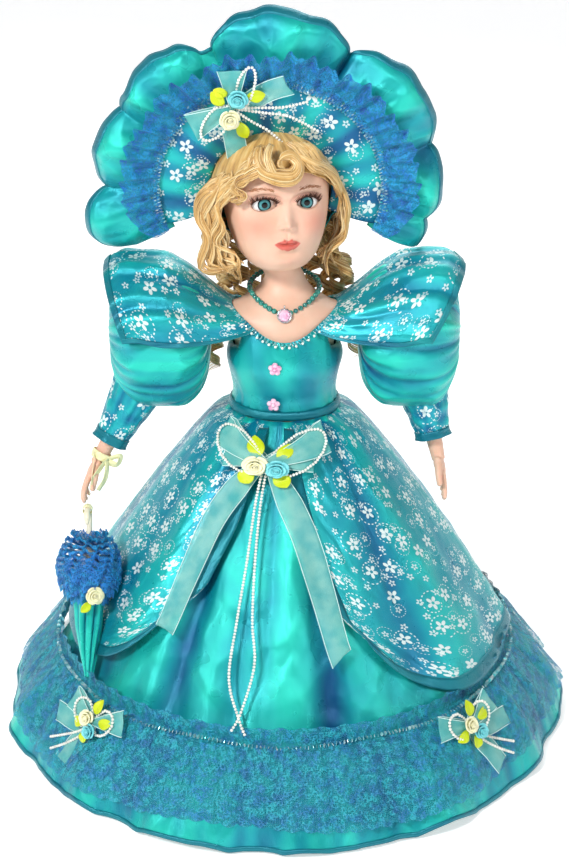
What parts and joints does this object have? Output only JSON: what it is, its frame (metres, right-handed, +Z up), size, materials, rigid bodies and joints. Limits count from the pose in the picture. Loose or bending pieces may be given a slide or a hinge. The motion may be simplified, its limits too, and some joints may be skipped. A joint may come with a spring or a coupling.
{
  "type": "porcelain collector doll",
  "caption": "Standing porcelain doll in a wide satin gown and brimmed hat, on a hidden stand, with jointed arms and legs and a closed parasol.",
  "frame": {"origin": "centre of the gown's footprint, on the surface that the stand's base rests on", "axes": "+Z up; the doll faces -Y; its left hand is at +X and its right hand, with the parasol, at -X"},
  "size_m": [0.4, 0.4, 0.4846],
  "materials": {
    "steel": "satin",
    "vinyl": "matte",
    "cloth_body": "matte",
    "porcelain": "satin",
    "pate": "matte",
    "eye_acrylic": "gloss",
    "hair": "satin",
    "beads": "gloss",
    "pearl": "gloss",
    "crystal": "gloss",
    "satin_teal": "satin",
    "satin_print": "satin",
    "lace_blue": "matte",
    "lace_white": "matte",
    "organza": "satin",
    "ribbon_cream": "satin",
    "flower_ribbon": "satin",
    "stick_cream": "gloss",
    "shoe_white": "gloss"
  },
  "bodies": {
    "stand": {"stand_base": "steel", "stand_post": "steel"},
    "doll": {"stand_rod": "steel", "clip_tips": "vinyl", "torso": "cloth_body", "shoulder_head": "porcelain", "head_pate": "pate", "eyes": "eye_acrylic", "wig_cap": "hair", "wig_curls": "hair", "necklace": "beads", "bodice": "satin_teal", "neckline_trim": "beads", "flower_gems": "crystal", "petticoat": "lace_white", "hoop_wire": "steel", "underskirt": "satin_teal", "overskirt": "satin_print", "hem_lace": "lace_blue", "hem_sequins": "beads", "hem_ruffle": "satin_teal", "waist_bow": "organza", "waist_pearls": "pearl", "waist_flowers": "flower_ribbon", "hem_bows": "organza", "hem_pearls": "pearl", "hem_flowers": "flower_ribbon"},
    "arm_right": {"upper_arm_right": "cloth_body", "forearm_right": "porcelain", "sleeve_right": "satin_teal", "flounce_right": "satin_print", "cuff_right": "satin_print", "wrist_ribbon": "ribbon_cream"},
    "arm_left": {"upper_arm_left": "cloth_body", "forearm_left": "porcelain", "sleeve_left": "satin_teal", "flounce_left": "satin_print", "cuff_left": "satin_print"},
    "parasol": {"parasol_stick": "stick_cream", "parasol_canopy": "satin_teal", "parasol_ruff": "lace_blue", "parasol_rose": "flower_ribbon"},
    "leg_right": {"upper_leg_right": "cloth_body", "lower_leg_right": "porcelain", "shoe_right": "shoe_white", "pantaloon_right": "lace_white"},
    "leg_left": {"upper_leg_left": "cloth_body", "lower_leg_left": "porcelain", "shoe_left": "shoe_white", "pantaloon_left": "lace_white"},
    "hat": {"hat_crown": "satin_teal", "hat_brim": "satin_print", "hat_trim": "beads", "hat_lace": "lace_blue", "hat_ruffle": "satin_teal", "hat_bow": "organza", "hat_pearls": "pearl", "hat_flowers": "flower_ribbon"}
  },
  "joints": [
    {"name": "stand_height", "type": "slide", "parent": "stand", "child": "doll", "axis": [0, 0, 1], "range_m": [0, 0.02]},
    {"name": "shoulder_right", "type": "hinge", "parent": "doll", "child": "arm_right", "pos_m": [-0.06, 0, 0.276], "axis": [-1, 0, 0], "range_deg": [0, 60]},
    {"name": "shoulder_left", "type": "hinge", "parent": "doll", "child": "arm_left", "pos_m": [0.06, 0, 0.276], "axis": [-1, 0, 0], "range_deg": [-15, 60]},
    {"name": "parasol_swing", "type": "hinge", "parent": "arm_right", "child": "parasol", "pos_m": [-0.129, -0.047, 0.159], "axis": [-1, 0, 0], "range_deg": [0, 35]},
    {"name": "hip_right", "type": "hinge", "parent": "doll", "child": "leg_right", "pos_m": [-0.018, 0, 0.1735], "axis": [-1, 0, 0], "range_deg": [-15, 30]},
    {"name": "hip_left", "type": "hinge", "parent": "doll", "child": "leg_left", "pos_m": [0.018, 0, 0.1735], "axis": [-1, 0, 0], "range_deg": [-15, 30]},
    {"name": "hat_lift", "type": "slide", "parent": "doll", "child": "hat", "axis": [0, 0.9781, 0.2079], "range_m": [0, 0.06]}
  ]
}
